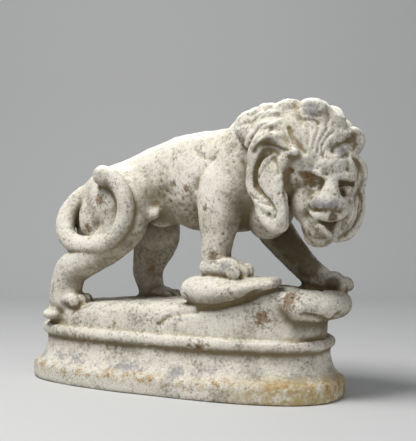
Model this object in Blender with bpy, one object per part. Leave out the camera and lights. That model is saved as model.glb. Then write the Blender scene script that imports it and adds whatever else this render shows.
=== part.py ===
"""A weathered stone lion that strides over rock, made in one block with its moulded oval plinth.

The plinth is an exact moulding swept round an oval. The lion and the rock are a figure: swelling
tubes and rounded masses laid over each other like clay, fused, softened, and joined to the plinth.
The frame is +X towards the lion's head, +Z up, with the origin under the middle of the plinth.
"""

import bmesh
import bpy
import numpy as np

# Sizes of the whole work, in metres
PLINTH_LENGTH = 0.600
PLINTH_DEPTH = 0.246
PLINTH_SQUARENESS = 2.7  # exponent of the oval: 2 is an ellipse, more is squarer
LION_HEIGHT = 0.398  # from the top of the plinth to the crown of the mane

# Heights of the plinth's moulding above the ground, in metres
FOOT_HEIGHT = 0.032  # upright band that the work stands on
HOLLOW_HEIGHT = 0.049  # cavetto between the band and the bead
BEAD_HEIGHT = 0.020  # rounded bead under the rock

# Depths of the moulding, measured inwards from the oval of the foot, in metres
BEAD_SETBACK = 0.016
NECK_SETBACK = 0.025  # deepest point of the hollow, under the bead
FOOT_CHAMFER = 0.004  # worn lower edge
ROCK_SETBACK = 0.029  # foot of the rock, just inside the bead
JOIN_OVERLAP = 0.012  # how far the rock runs down inside the plinth

# Fineness of the solid
PLINTH_SIDES = 72
FUSE_GRAIN = 0.0036
BODY_GRAIN = 0.0050
FIGURE_TRIANGLES = 7400

PLINTH_HEIGHT = FOOT_HEIGHT + HOLLOW_HEIGHT + BEAD_HEIGHT

# The figure is drawn on a grid of 398 steps to the lion's height, from the top of the plinth
GRID_STEPS = 398
STEP = LION_HEIGHT / GRID_STEPS

# Place and turn of the head on that grid: it looks down and to the lion's right
HEAD_CENTRE = (272, -49, 252)
HEAD_TURN = -38
HEAD_NOD = 18
HEAD_TILT = -7
SEEN_TURN = -62.3  # turn of the side of the head that the photograph was taken from

# Rounded mass under the locks of the mane, in the head's own axes (forward, left, up)
MANE_CENTRE = (-30, -3, 33)
MANE_RADII = (62, 77, 86)


def remove_everything():
    for thing in list(bpy.data.objects):
        bpy.data.objects.remove(thing)


def unit(vectors):
    return vectors / np.linalg.norm(vectors, axis=-1, keepdims=True)


def spread(rows, per_span):
    """Catmull-Rom curve through the rows: every column is smoothed, radii as well as places."""
    rows = np.asarray(rows, float)
    padded = np.vstack([2 * rows[0] - rows[1], rows, 2 * rows[-1] - rows[-2]])
    before, start, end, after = (padded[i : len(padded) - 3 + i, None] for i in range(4))
    t = (np.arange(per_span) / per_span)[None, :, None]
    curve = start + 0.5 * t * (
        end - before
        + t * (2 * before - 5 * start + 4 * end - after)
        + t**2 * (3 * start - before - 3 * end + after)
    )
    return np.vstack([curve.reshape(-1, rows.shape[1]), rows[-1:]])


def skin(rings):
    """Closed surface over a stack of rings, an array of (ring, point, xyz), with its ends filled."""
    count, around = rings.shape[:2]
    first = np.arange(count - 1)[:, None] * around + np.arange(around)
    second = np.arange(count - 1)[:, None] * around + (np.arange(around) + 1) % around
    quads = np.stack([first, second, second + around, first + around], -1).reshape(-1, 4)
    bottom = np.arange(around)[::-1]
    top = (count - 1) * around + np.arange(around)
    return rings.reshape(-1, 3), [*quads.tolist(), bottom.tolist(), top.tolist()]


def tube(stations, facing=(0, 1, 0), core=None, per_span=3, around=14):
    """Swelling tube with round ends, through stations (x, y, z, half width, half depth).

    The depth is measured along `facing`, or away from the point `core`, and the width across it.
    """
    line = spread(stations, per_span)
    centre, wide, deep = line[:, :3], line[:, 3:4], line[:, 4:5]
    ahead = unit(np.gradient(centre, axis=0))
    out = np.broadcast_to(np.asarray(facing, float), centre.shape)
    if core is not None:
        out = centre - np.asarray(core, float)
    out = unit(out - (out * ahead).sum(1, keepdims=True) * ahead)
    across = np.cross(out, ahead)

    cap = np.radians([82, 55, 28])[:, None]
    start_cap = np.minimum(wide[0], deep[0]) * np.sin(cap)
    end_cap = np.minimum(wide[-1], deep[-1]) * np.sin(cap[::-1])
    centre = np.vstack([centre[0] - ahead[0] * start_cap, centre, centre[-1] + ahead[-1] * end_cap])
    wide = np.vstack([wide[0] * np.cos(cap), wide, wide[-1] * np.cos(cap[::-1])])
    deep = np.vstack([deep[0] * np.cos(cap), deep, deep[-1] * np.cos(cap[::-1])])
    across = np.vstack([across[[0] * 3], across, across[[-1] * 3]])
    out = np.vstack([out[[0] * 3], out, out[[-1] * 3]])

    angle = np.linspace(0, 2 * np.pi, around, endpoint=False)[None, :, None]
    rings = (
        centre[:, None]
        + (across * wide)[:, None] * np.cos(angle)
        + (out * deep)[:, None] * np.sin(angle)
    )
    return skin(rings)


def blob(centre, radii, turn=0, nod=0):
    """Egg-shaped mass with three radii, turned about +Z and then nodded about +Y, in degrees."""
    polar = np.radians(np.linspace(4, 176, 11))[:, None]
    angle = np.linspace(0, 2 * np.pi, 16, endpoint=False)[None, :]
    ball = np.stack(
        [
            -np.cos(polar) * np.ones_like(angle),
            np.sin(polar) * np.cos(angle),
            np.sin(polar) * np.sin(angle),
        ],
        -1,
    )
    return skin(ball * np.asarray(radii, float) @ rotation(turn, nod, 0).T + np.asarray(centre, float))


def rotation(turn, nod, tilt):
    """Rotation matrix: tilt about +X, then nod about +Y (nose down), then turn about +Z."""
    turn, nod, tilt = np.radians([turn, nod, tilt])
    about_z = [[np.cos(turn), -np.sin(turn), 0], [np.sin(turn), np.cos(turn), 0], [0, 0, 1]]
    about_y = [[np.cos(nod), 0, np.sin(nod)], [0, 1, 0], [-np.sin(nod), 0, np.cos(nod)]]
    about_x = [[1, 0, 0], [0, np.cos(tilt), -np.sin(tilt)], [0, np.sin(tilt), np.cos(tilt)]]
    return np.array(about_z) @ np.array(about_y) @ np.array(about_x)


def on_head(form):
    """Carries a form from the head's own axes (forward, left, up) to its place on the neck."""
    points, faces = form
    return points @ rotation(HEAD_TURN, HEAD_NOD, HEAD_TILT).T + np.array(HEAD_CENTRE), faces


def trunk():
    """Ribcage, tucked waist and rump, from the tail to the chest, and the thick neck."""
    spine = [
        (-178, 0, 222, 44, 46),
        (-150, 0, 234, 53, 54),
        (-99, 0, 247, 57, 52),
        (-62, 0, 253, 66, 48),
        (-30, 0, 258, 72, 47),
        (4, 0, 262, 80, 54),
        (42, 0, 261, 88, 60),
        (78, 0, 261, 90, 63),
        (112, 0, 261, 90, 61),
        (150, -2, 256, 84, 55),
        (186, -8, 244, 70, 44),
    ]
    neck = [(126, 0, 306, 54, 52), (180, -12, 312, 70, 66), (232, -30, 300, 80, 72)]
    return [
        tube(spine, around=20),
        tube(neck, around=18),
        blob((182, -12, 218), (40, 44, 60), nod=20),
        blob((-36, -2, 188), (24, 13, 10), nod=-6),
    ]


def hind_legs():
    """The near hind leg stretches back, the far one steps forward."""
    near = [
        (-118, -44, 240, 58, 34),
        (-90, -50, 190, 47, 34),
        (-113, -54, 153, 36, 30),
        (-163, -56, 120, 31, 28),
        (-200, -56, 98, 32, 27),
        (-211, -55, 70, 32, 26),
        (-215, -55, 44, 33, 26),
    ]
    far = [
        (-100, 44, 235, 58, 34),
        (-84, 50, 172, 52, 33),
        (-91, 54, 140, 45, 30),
        (-99, 55, 113, 35, 27),
        (-104, 56, 90, 31, 25),
        (-97, 55, 66, 26, 23),
        (-93, 54, 46, 27, 23),
    ]
    flank_fold = [(-86, -42, 172, 17, 14), (-60, -42, 194, 14, 11), (-32, -40, 204, 10, 9)]
    return [
        tube(near),
        tube(far),
        tube(flank_fold),
        blob((-104, -42, 222), (66, 42, 68)),
        blob((-150, -38, 194), (38, 38, 46)),
        blob((-188, -16, 182), (26, 24, 44)),
        blob((-112, 42, 224), (60, 38, 66)),
    ]


def fore_legs():
    """The near foreleg stands upright on its boulder, the far one reaches forward."""
    near = [
        (112, -44, 262, 48, 32),
        (106, -51, 228, 45, 32),
        (103, -54, 192, 37, 30),
        (100, -56, 160, 28, 27),
        (98, -57, 134, 25, 25),
        (102, -58, 114, 26, 25),
    ]
    far = [
        (136, 38, 232, 44, 32),
        (158, 47, 180, 34, 28),
        (182, 50, 150, 29, 26),
        (205, 52, 124, 26, 24),
        (226, 52, 104, 25, 24),
        (242, 52, 92, 25, 23),
    ]
    return [
        tube(near),
        tube(far),
        blob((134, -40, 268), (56, 32, 66), nod=-12),
        blob((136, 38, 264), (54, 32, 64), nod=-12),
    ]


def paw(heel, reach, height, half_width, turn=0):
    """Rounded foot with four toes; heel is the middle of its back edge on the rock."""
    foot = [
        (0, 0, height * 0.55, half_width * 0.85, height * 0.55),
        (reach * 0.5, 0, height * 0.55, half_width * 0.95, height * 0.6),
        (reach * 0.8, 0, height * 0.42, half_width, height * 0.45),
    ]
    forms = [tube(foot, facing=(0, 0, 1))]
    for place in (-1.5, -0.5, 0.5, 1.5):
        forward = reach * (0.98 - 0.10 * abs(place))
        knuckle = (forward, place * half_width * 0.5, height * 0.40)
        forms.append(blob(knuckle, (reach * 0.22, half_width * 0.27, height * 0.44), turn=place * 6))
    return [(points @ rotation(turn, 0, 0).T + np.array(heel), faces) for points, faces in forms]


def paws():
    """One foot under each leg, standing on its own part of the rock."""
    return [
        *paw((88, -58, 98), 70, 30, 28, turn=-6),
        *paw((240, 52, 72), 54, 30, 26, turn=4),
        *paw((-224, -55, 34), 52, 27, 28),
        *paw((-106, 54, 40), 64, 24, 25),
    ]


def tail():
    """The tail leaves the rump, loops round the near haunch and ends in a round tuft."""
    loop = [
        (-142, -4, 268, 14, 14),
        (-182, -18, 246, 16, 17),
        (-206, -34, 221, 18, 19),
        (-217, -47, 191, 18, 19),
        (-209, -58, 164, 17, 18),
        (-180, -66, 147, 16, 17),
        (-132, -72, 147, 16, 17),
        (-95, -77, 161, 15, 16),
        (-73, -80, 187, 15, 16),
        (-66, -81, 216, 15, 16),
        (-75, -81, 243, 14, 16),
        (-93, -81, 264, 15, 17),
        (-113, -83, 271, 18, 19),
    ]
    return [tube(loop, core=(-145, -50, 210), per_span=4)]


def as_seen(form):
    """Carries a form from the camera's side of the head (towards the camera, right, up) to it."""
    points, faces = form
    return points @ rotation(SEEN_TURN, 0, 0).T + np.array(HEAD_CENTRE), faces


def seen_tube(stations):
    return as_seen(tube(stations, facing=(1, 0, 0)))


def face():
    """Broad forehead, sunken eyes, wide muzzle and dropped jaw, as they are seen by the camera."""
    masses = [
        blob((0, 6, 0), (32, 50, 56)),
        blob((17, 12, 31), (34, 37, 29)),
        blob((6, -18, -22), (33, 23, 38)),
        blob((2, 48, -24), (24, 15, 34)),
        blob((22, 17, -38), (29, 28, 20)),
        blob((-4, 12, -66), (24, 32, 26)),
        blob((8, 7, -80), (22, 24, 20)),
        blob((18, -40, 21), (15, 9, 13)),
    ]
    near_brow = [(30, -27, 20, 6, 7), (38, -14, 20, 7, 8), (43, -3, 18, 7, 8), (43, 8, 12, 6, 7)]
    far_brow = [(38, 31, 14, 7, 8), (30, 44, 14, 8, 9), (20, 56, 11, 6, 8)]
    bridge = [(36, 21, 14, 12, 12), (38, 21, 2, 13, 13), (40, 19, -11, 18, 16), (40, 17, -22, 26, 19)]
    nose = [
        (34, -7, -29, 9, 10),
        (41, 0, -27, 11, 13),
        (46, 9, -28, 11, 14),
        (47, 17, -28, 11, 14),
        (45, 26, -27, 11, 13),
        (37, 37, -29, 10, 11),
        (28, 43, -33, 8, 8),
    ]
    upper_lip = [
        (32, -8, -41, 7, 9),
        (37, -1, -47, 8, 11),
        (41, 9, -48, 9, 12),
        (40, 22, -48, 9, 12),
        (34, 34, -46, 9, 11),
        (24, 44, -41, 8, 9),
    ]
    near_jaw = [
        (10, -28, -28, 13, 14),
        (14, -18, -46, 13, 14),
        (19, -9, -59, 14, 15),
        (23, -1, -71, 15, 15),
        (24, 7, -80, 15, 14),
    ]
    far_jaw = [(10, 40, -52, 7, 10), (12, 34, -65, 6, 10), (16, 26, -82, 9, 11)]
    far_cheek = [(25, 42, -24, 6, 10), (15, 55, -21, 6, 10)]
    eyes = [blob((29, -3, 1), (10, 9, 7)), blob((18, 49, -8), (10, 7, 6))]
    ridges = [near_brow, far_brow, bridge, nose, upper_lip, near_jaw, far_jaw, far_cheek]
    return [*[as_seen(mass) for mass in [*masses, *eyes]], *[seen_tube(ridge) for ridge in ridges]]


def lock(path, half_width, lift=5):
    """Lock of hair through points on the mane, lifted clear and thickest between its ends."""
    path = np.asarray(path, float)
    swell = np.sin(np.pi * np.linspace(0.08, 0.92, len(path)) ** 0.85)[:, None]
    centre = path + unit(path - np.array(MANE_CENTRE)) * lift * swell
    width = half_width * (0.35 + 0.65 * swell)
    return on_head(tube(np.hstack([centre, width, width * 0.85]), core=MANE_CENTRE, around=10))


def on_mane(forward, around):
    """Point on the mane's mass: degrees back from the nose, and degrees round it from the crown."""
    forward, around = np.radians([forward, around])
    shape = [np.cos(forward), -np.sin(forward) * np.sin(around), np.sin(forward) * np.cos(around)]
    return np.array(MANE_CENTRE) + np.array(shape) * np.array(MANE_RADII)


def crown():
    """Rolls over the crown, each combed back from the forehead: the camera's side of the mane."""
    backing = [
        blob((0, -14, 92), (40, 62, 40)),
        blob((0, -74, 78), (26, 28, 36)),
        blob((-22, -92, 91), (26, 35, 30)),
        blob((-2, 66, 72), (10, 9, 14)),
        blob((-6, 60, 20), (16, 16, 36)),
        blob((4, -64, 94), (22, 22, 22)),
        blob((9, 54, 26), (14, 10, 24)),
        blob((-8, -74, 117), (12, 16, 10)),
    ]
    rolls = [
        # The thick roll over the forehead, and the one beside it that runs down to the bun
        [(14, -23, 119, 13, 11), (22, -14, 121, 16, 14), (24, -1, 120, 17, 14), (18, 10, 116, 13, 13), (8, 20, 110, 9, 10)],
        [(12, 17, 105, 8, 9), (10, 27, 106, 11, 11), (5, 38, 101, 11, 11), (0, 44, 92, 8, 9)],
        # The crown and the knob behind it
        [(8, -32, 126, 12, 12), (10, -46, 125, 13, 13), (8, -59, 120, 9, 11)],
        [(-8, -70, 125, 5, 8), (-10, -80, 126, 7, 9), (-11, -86, 122, 6, 8)],
        [(-14, -91, 119, 6, 8), (-16, -102, 115, 8, 10), (-20, -114, 108, 8, 9), (-24, -123, 97, 6, 8)],
        # Three rolls that sweep from the parting over the temple and down behind the ear
        [(16, -56, 113, 6, 9), (12, -68, 115, 7, 10), (6, -82, 112, 7, 10), (-2, -93, 105, 7, 9), (-10, -106, 94, 6, 8), (-16, -115, 83, 4, 6)],
        [(26, -55, 98, 5, 8), (24, -69, 96, 7, 10), (17, -83, 94, 7, 10), (8, -92, 87, 6, 9), (0, -101, 78, 6, 9), (-8, -107, 65, 5, 7)],
        [(38, -51, 59, 5, 7), (36, -59, 71, 8, 10), (32, -68, 77, 9, 11), (26, -79, 77, 9, 11), (18, -90, 70, 8, 11), (10, -98, 59, 7, 9), (4, -103, 45, 6, 8)],
        # The forelock and the strands that fall to the hairline
        [(18, -44, 106, 11, 10), (28, -35, 95, 13, 11), (34, -28, 82, 12, 10), (38, -23, 67, 9, 9), (42, -20, 55, 5, 7)],
        [(26, -56, 101, 4, 7), (32, -51, 86, 6, 8), (38, -44, 70, 6, 8), (42, -35, 58, 5, 7), (44, -25, 50, 3, 5)],
        [(34, -37, 72, 5, 6), (39, -30, 61, 5, 6), (42, -20, 51, 4, 5)],
        [(28, -7, 99, 6, 8), (34, -4, 85, 7, 8), (38, -4, 70, 6, 8), (42, -6, 56, 5, 6)],
        [(22, 11, 105, 5, 8), (32, 5, 90, 5, 8), (38, 3, 74, 5, 7), (43, 0, 55, 4, 5)],
        [(20, 24, 92, 5, 8), (30, 14, 80, 6, 8), (37, 7, 67, 5, 7), (43, 4, 51, 5, 6)],
        # The curl over the far brow, the bun beside it and the hair down the far temple
        [(6, 55, 79, 5, 8), (12, 46, 81, 6, 9), (20, 34, 78, 7, 10), (28, 23, 69, 7, 10), (35, 17, 58, 6, 8), (40, 16, 45, 5, 6)],
        [(4, 59, 56, 5, 7), (14, 46, 54, 5, 7), (24, 34, 49, 5, 7)],
        [(4, 55, 87, 5, 8), (2, 64, 88, 7, 10), (-3, 73, 79, 8, 10), (-5, 74, 67, 8, 10), (-3, 68, 55, 6, 8), (2, 57, 63, 5, 8)],
        [(14, 49, 48, 6, 7), (4, 63, 44, 8, 9), (-8, 77, 31, 9, 10), (-14, 79, 12, 9, 10), (-16, 75, -7, 8, 9)],
        [(20, 55, 43, 4, 6), (14, 60, 27, 4, 6), (10, 63, 8, 4, 6), (8, 63, -11, 4, 6)],
    ]
    return [*[as_seen(mass) for mass in backing], *[seen_tube(roll) for roll in rolls]]


def mane():
    """Rounded mass of the mane, with the locks of its far side and back."""
    forms = [on_head(blob(MANE_CENTRE, MANE_RADII))]
    for around in range(-150, 0, 22):
        forms.append(lock([on_mane(reach, around + reach / 5) for reach in (76, 96, 116, 134)], 11))
    for around in range(-120, 121, 24):
        forms.append(lock([on_mane(reach, around - reach / 8) for reach in (112, 130, 148, 166)], 12))
    return forms


def hanging_locks():
    """The heavy mass of hair that hangs on each side of the face, curled at its edge."""
    near_rim = [
        (18, -62, 52, 7, 7),
        (0, -70, 52, 9, 8),
        (-18, -79, 53, 10, 9),
        (-36, -88, 48, 10, 9),
        (-45, -92, 28, 10, 9),
        (-46, -92, 0, 10, 9),
        (-38, -88, -28, 9, 9),
        (-20, -80, -42, 9, 8),
        (2, -70, -50, 7, 7),
    ]
    near_tongue = [
        (2, -66, 38, 10, 9),
        (-4, -70, 14, 13, 11),
        (2, -66, -12, 15, 13),
        (14, -60, -38, 15, 13),
        (22, -56, -60, 13, 12),
    ]
    near_fold = [(-24, -76, -46, 10, 10), (-8, -68, -64, 12, 12), (12, -60, -72, 13, 12), (24, -54, -66, 11, 11)]
    far_rim = [
        (0, 70, 24, 9, 9),
        (-10, 88, 8, 11, 10),
        (-10, 100, -18, 12, 11),
        (-6, 102, -46, 13, 12),
        (0, 90, -70, 13, 12),
        (4, 70, -80, 12, 11),
    ]
    far_tongue = [(4, 66, 10, 10, 10), (4, 74, -14, 12, 12), (6, 74, -40, 14, 12), (10, 62, -64, 14, 12)]
    near_backing = [(-30, -74, 30, 24, 13), (-26, -74, -4, 26, 14), (-8, -66, -34, 24, 13), (8, -60, -54, 18, 11)]
    far_backing = [(-30, 72, 24, 24, 14), (-20, 80, -10, 26, 14), (-8, 82, -44, 22, 13), (0, 78, -62, 16, 11)]
    rows = [near_rim, near_tongue, near_fold, far_rim, far_tongue, near_backing, far_backing]
    return [on_head(tube(row)) for row in rows]


def neck_crest():
    """Rolls of mane that lie over the back of the neck like saddles, combed backwards."""
    crowns = [(108, 344), (130, 361), (155, 374), (182, 380), (208, 381)]
    forms = []
    for x, z in crowns:
        sway = -0.25 * (x - 108)
        roll = [
            (x - 26, 54 + sway, z - 62, 8, 8),
            (x - 12, 40 + sway, z - 26, 13, 11),
            (x, 4 + sway, z, 15, 13),
            (x - 12, -32 + sway, z - 26, 13, 11),
            (x - 26, -46 + sway, z - 62, 8, 8),
        ]
        forms.append(tube(roll, core=(x, sway, z - 90)))
    return forms


def plan(half_length, half_depth, count):
    """Points round the oval, which is a superellipse, as an array of (point, xy)."""
    angle = np.linspace(0, 2 * np.pi, count, endpoint=False)
    along, over = np.cos(angle), np.sin(angle)
    power = 2 / PLINTH_SQUARENESS
    return np.stack(
        [
            half_length * np.sign(along) * np.abs(along) ** power,
            half_depth * np.sign(over) * np.abs(over) ** power,
        ],
        -1,
    )


def ground(x):
    """Height of the rock under the lion: it climbs gently, and steeply under the forelegs."""
    gentle = np.clip((x + 250) / 230, 0, 1)
    steep = np.clip((x - 20) / 150, 0, 1)
    return 39 + 13 * gentle + 33 * steep**2 * (3 - 2 * steep)


def mound():
    """The ground the lion walks on: an oval hill that fills the plinth inside its bead."""
    half_length = PLINTH_LENGTH / 2 - ROCK_SETBACK
    half_depth = PLINTH_DEPTH / 2 - ROCK_SETBACK
    edge = plan(half_length / STEP, half_depth / STEP, 40)
    rings = [np.column_stack([edge * 0.96, np.full(len(edge), -JOIN_OVERLAP / STEP)])]
    for inward, rise in ((1, 0), (1, 0.3), (0.98, 0.6), (0.92, 0.83), (0.78, 0.96), (0.4, 1), (0.02, 1)):
        flat = edge * inward
        rings.append(np.column_stack([flat, ground(flat[:, 0]) * rise]))
    return skin(np.array(rings))


def kept_inside(form):
    """Holds a swell of the rock within the bead of the plinth, and cuts it off below the join."""
    points, faces = form
    half = np.array([PLINTH_LENGTH / 2 - ROCK_SETBACK, PLINTH_DEPTH / 2 - ROCK_SETBACK]) / STEP
    reach = (np.abs(points[:, :2] / half) ** PLINTH_SQUARENESS).sum(1) ** (1 / PLINTH_SQUARENESS)
    points[:, :2] /= np.maximum(reach, 1)[:, None]
    points[:, 2] = np.maximum(points[:, 2], -JOIN_OVERLAP / STEP)
    return points, faces


def rock():
    """The mound with the swells of its front face and the lip that overhangs under the far paw."""
    lip = [(254, -52, 60, 32, 23), (272, -24, 63, 37, 26), (277, 14, 63, 36, 26), (262, 62, 58, 34, 24)]
    swells = [
        blob((-104, -54, 4), (138, 43, 42), nod=-2),
        blob((104, -54, 6), (84, 46, 50), nod=-4),
        blob((200, -50, 10), (68, 48, 72), turn=-4),
        blob((-60, 58, 8), (190, 38, 36), nod=-3),
        blob((176, 54, 12), (90, 40, 64), nod=-4),
    ]
    end_roll = blob((-234, -24, 18), (30, 66, 15))
    return [mound(), tube(lip, facing=(0, 0, 1)), end_roll, *[kept_inside(swell) for swell in swells]]


def boulder():
    """Rounded slab that the near forefoot stands on."""
    slab = [
        (62, -56, 75, 38, 24),
        (95, -60, 75, 45, 27),
        (132, -60, 79, 45, 24),
        (170, -56, 86, 42, 16),
        (204, -50, 92, 34, 9),
    ]
    return [tube(slab, facing=(0, 0, 1), around=18)]


def mesh_from(forms, name):
    """One mesh that holds all the forms, still passing through each other, in metres."""
    points, faces, count = [], [], 0
    for form_points, form_faces in forms:
        points.append(form_points)
        faces += [[index + count for index in polygon] for polygon in form_faces]
        count += len(form_points)
    grid = np.vstack(points) * STEP + np.array([0, 0, PLINTH_HEIGHT])
    mesh = bpy.data.meshes.new(name)
    mesh.from_pydata(grid.tolist(), [], faces)
    return mesh


def add_fusing(thing, grain, softening):
    """Fuses the forms of an object into one skin, then softens the creases where they meet."""
    fuse = thing.modifiers.new("fuse", "REMESH")
    fuse.mode = "VOXEL"
    fuse.voxel_size = grain
    soften = thing.modifiers.new("soften", "SMOOTH")
    soften.factor = 0.5
    soften.iterations = softening


def evaluated_mesh(thing):
    depsgraph = bpy.context.evaluated_depsgraph_get()
    return bpy.data.meshes.new_from_object(thing.evaluated_get(depsgraph))


def soft_forms():
    """Trunk, legs and rock fused first, so that the muscles and swells run into each other."""
    forms = [*trunk(), *hind_legs(), *fore_legs(), *rock()]
    draft = bpy.data.objects.new("soft_draft", mesh_from(forms, "soft_draft"))
    bpy.context.scene.collection.objects.link(draft)
    add_fusing(draft, BODY_GRAIN, 8)
    fused = evaluated_mesh(draft)
    bpy.data.objects.remove(draft)
    return fused


def moulding():
    """Profile of the plinth from the ground up: rows of (inset from the oval, height)."""
    rows = [
        (FOOT_CHAMFER, 0.0),
        (0.0, FOOT_CHAMFER * 1.5),
        (0.0, FOOT_HEIGHT * 0.8),
        (0.0025, FOOT_HEIGHT),
    ]
    for quarter in np.radians([18, 36, 54, 72]):
        rise = HOLLOW_HEIGHT * (1 - np.cos(quarter * 0.96))
        rows.append((NECK_SETBACK * np.sin(quarter), FOOT_HEIGHT + rise))
    neck = FOOT_HEIGHT + HOLLOW_HEIGHT
    rows.append((NECK_SETBACK, neck - 0.003))
    for swing in np.radians([-72, -32, 9, 54]):
        bulge = (NECK_SETBACK - BEAD_SETBACK) * np.cos(swing)
        rows.append((NECK_SETBACK - bulge, neck + BEAD_HEIGHT * (0.5 + 0.5 * np.sin(swing))))
    rows.append((NECK_SETBACK, PLINTH_HEIGHT))
    return rows


def plinth_solid():
    rings = []
    for inset, height in moulding():
        edge = plan(PLINTH_LENGTH / 2 - inset, PLINTH_DEPTH / 2 - inset, PLINTH_SIDES)
        rings.append(np.column_stack([edge, np.full(len(edge), height)]))
    points, faces = skin(np.array(rings))
    mesh = bpy.data.meshes.new("plinth")
    mesh.from_pydata(points.tolist(), [], faces)
    plinth = bpy.data.objects.new("plinth_form", mesh)
    bpy.context.scene.collection.objects.link(plinth)
    plinth.hide_render = True
    plinth.display_type = "WIRE"
    return plinth


def limestone():
    material = bpy.data.materials.new("weathered_limestone")
    material.use_nodes = True
    shader = material.node_tree.nodes["Principled BSDF"]
    shader.inputs["Base Color"].default_value = (0.56, 0.53, 0.46, 1)
    shader.inputs["Roughness"].default_value = 0.92
    shader.inputs["Metallic"].default_value = 0.0
    return material


def lion_statue():
    """The whole work as one solid: figure and rock fused, thinned, and joined to the plinth."""
    forms = [*paws(), *tail(), *face(), *crown(), *mane(), *hanging_locks(), *neck_crest(), *boulder()]
    mesh = mesh_from(forms, "lion_statue")
    shape = bmesh.new()
    shape.from_mesh(mesh)
    shape.from_mesh(soft_forms())
    shape.to_mesh(mesh)
    shape.free()

    statue = bpy.data.objects.new("lion_statue", mesh)
    bpy.context.scene.collection.objects.link(statue)
    add_fusing(statue, FUSE_GRAIN, 2)
    fine = evaluated_mesh(statue)
    triangles = sum(len(polygon.vertices) - 2 for polygon in fine.polygons)
    thin = statue.modifiers.new("thin", "DECIMATE")
    thin.ratio = FIGURE_TRIANGLES / triangles
    join = statue.modifiers.new("stand_on_plinth", "BOOLEAN")
    join.operation = "UNION"
    join.solver = "EXACT"
    join.object = plinth_solid()
    mesh.materials.append(limestone())
    return statue


remove_everything()
lion_statue()
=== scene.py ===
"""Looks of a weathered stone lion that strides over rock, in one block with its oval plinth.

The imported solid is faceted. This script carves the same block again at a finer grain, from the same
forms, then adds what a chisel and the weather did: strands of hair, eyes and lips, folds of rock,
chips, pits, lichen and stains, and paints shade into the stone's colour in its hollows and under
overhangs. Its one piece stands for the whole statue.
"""

import math

import bpy
import numpy as np
from mathutils import Matrix, Vector
from mathutils.bvhtree import BVHTree


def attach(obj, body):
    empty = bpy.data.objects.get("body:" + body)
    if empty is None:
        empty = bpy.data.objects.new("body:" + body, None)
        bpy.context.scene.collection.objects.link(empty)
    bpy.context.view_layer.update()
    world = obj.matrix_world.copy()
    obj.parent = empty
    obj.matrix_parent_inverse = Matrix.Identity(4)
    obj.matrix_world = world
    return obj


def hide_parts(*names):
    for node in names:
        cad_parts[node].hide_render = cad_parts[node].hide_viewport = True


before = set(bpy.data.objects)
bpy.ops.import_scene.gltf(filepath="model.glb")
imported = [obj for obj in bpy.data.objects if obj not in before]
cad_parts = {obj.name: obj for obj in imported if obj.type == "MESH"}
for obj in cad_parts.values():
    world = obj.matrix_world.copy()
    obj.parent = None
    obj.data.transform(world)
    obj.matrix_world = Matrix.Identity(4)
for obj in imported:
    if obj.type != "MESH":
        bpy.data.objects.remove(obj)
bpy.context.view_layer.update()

# The camera: it stands where the photograph was taken from, a little above the lion's belly and
# turned towards its head. Strokes of the chisel are drawn through it, on the photograph's pixels.
PHOTO_WIDTH = 416
PHOTO_HEIGHT = 441
FOCAL_PIXELS = 950
HORIZON_RISE = 23.5
SENSOR = 36
VIEW_PLACE = np.array([0.831, -1.481, 0.334])
VIEW_TURN = math.radians(27.7)
VIEW_DIP = math.atan(HORIZON_RISE / FOCAL_PIXELS)

view_right = np.array([math.cos(VIEW_TURN), math.sin(VIEW_TURN), 0])
view_level = np.array([-math.sin(VIEW_TURN), math.cos(VIEW_TURN), 0])
view_ahead = view_level * math.cos(VIEW_DIP) - np.array([0, 0, math.sin(VIEW_DIP)])
view_up = np.cross(view_right, view_ahead)


def linked(name, data):
    """Object of some data, put into the scene."""
    thing = bpy.data.objects.new(name, data)
    bpy.context.scene.collection.objects.link(thing)
    return thing


lens = bpy.data.cameras.new("camera")
lens.sensor_width = SENSOR
lens.lens = SENSOR * FOCAL_PIXELS / PHOTO_HEIGHT
camera = linked("camera", lens)
bpy.context.scene.camera = camera
turned = Matrix((view_right, view_up, -view_ahead)).transposed().to_4x4()
turned.translation = Vector(VIEW_PLACE)
camera.matrix_world = turned


# The plinth: an upright foot band, a hollow and a rounded bead, run round an oval. It is part of
# the same block as the lion, so it is only a profile here, joined to the rest further down.
PLINTH_LENGTH = 0.600
PLINTH_DEPTH = 0.246
PLINTH_SQUARENESS = 2.7
FOOT_HEIGHT = 0.032
HOLLOW_HEIGHT = 0.049
BEAD_HEIGHT = 0.020
BEAD_SETBACK = 0.016
NECK_SETBACK = 0.025
FOOT_CHAMFER = 0.004
PLINTH_HEIGHT = FOOT_HEIGHT + HOLLOW_HEIGHT + BEAD_HEIGHT
PLINTH_SIDES = 240


def skin(rings):
    """Closed surface over a stack of rings, an array of (ring, point, xyz), with its ends filled."""
    count, around = rings.shape[:2]
    first = np.arange(count - 1)[:, None] * around + np.arange(around)
    second = np.arange(count - 1)[:, None] * around + (np.arange(around) + 1) % around
    quads = np.stack([first, second, second + around, first + around], -1).reshape(-1, 4)
    bottom = np.arange(around)[::-1]
    top = (count - 1) * around + np.arange(around)
    return rings.reshape(-1, 3), [*quads.tolist(), bottom.tolist(), top.tolist()]


def plan(half_length, half_depth, count):
    """Points round the oval: cosine and sine of the angle, each raised to 2 / squareness."""
    angle = np.linspace(0, 2 * np.pi, count, endpoint=False)
    along, over = np.cos(angle), np.sin(angle)
    power = 2 / PLINTH_SQUARENESS
    return np.stack(
        [
            half_length * np.sign(along) * np.abs(along) ** power,
            half_depth * np.sign(over) * np.abs(over) ** power,
        ],
        -1,
    )


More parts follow.
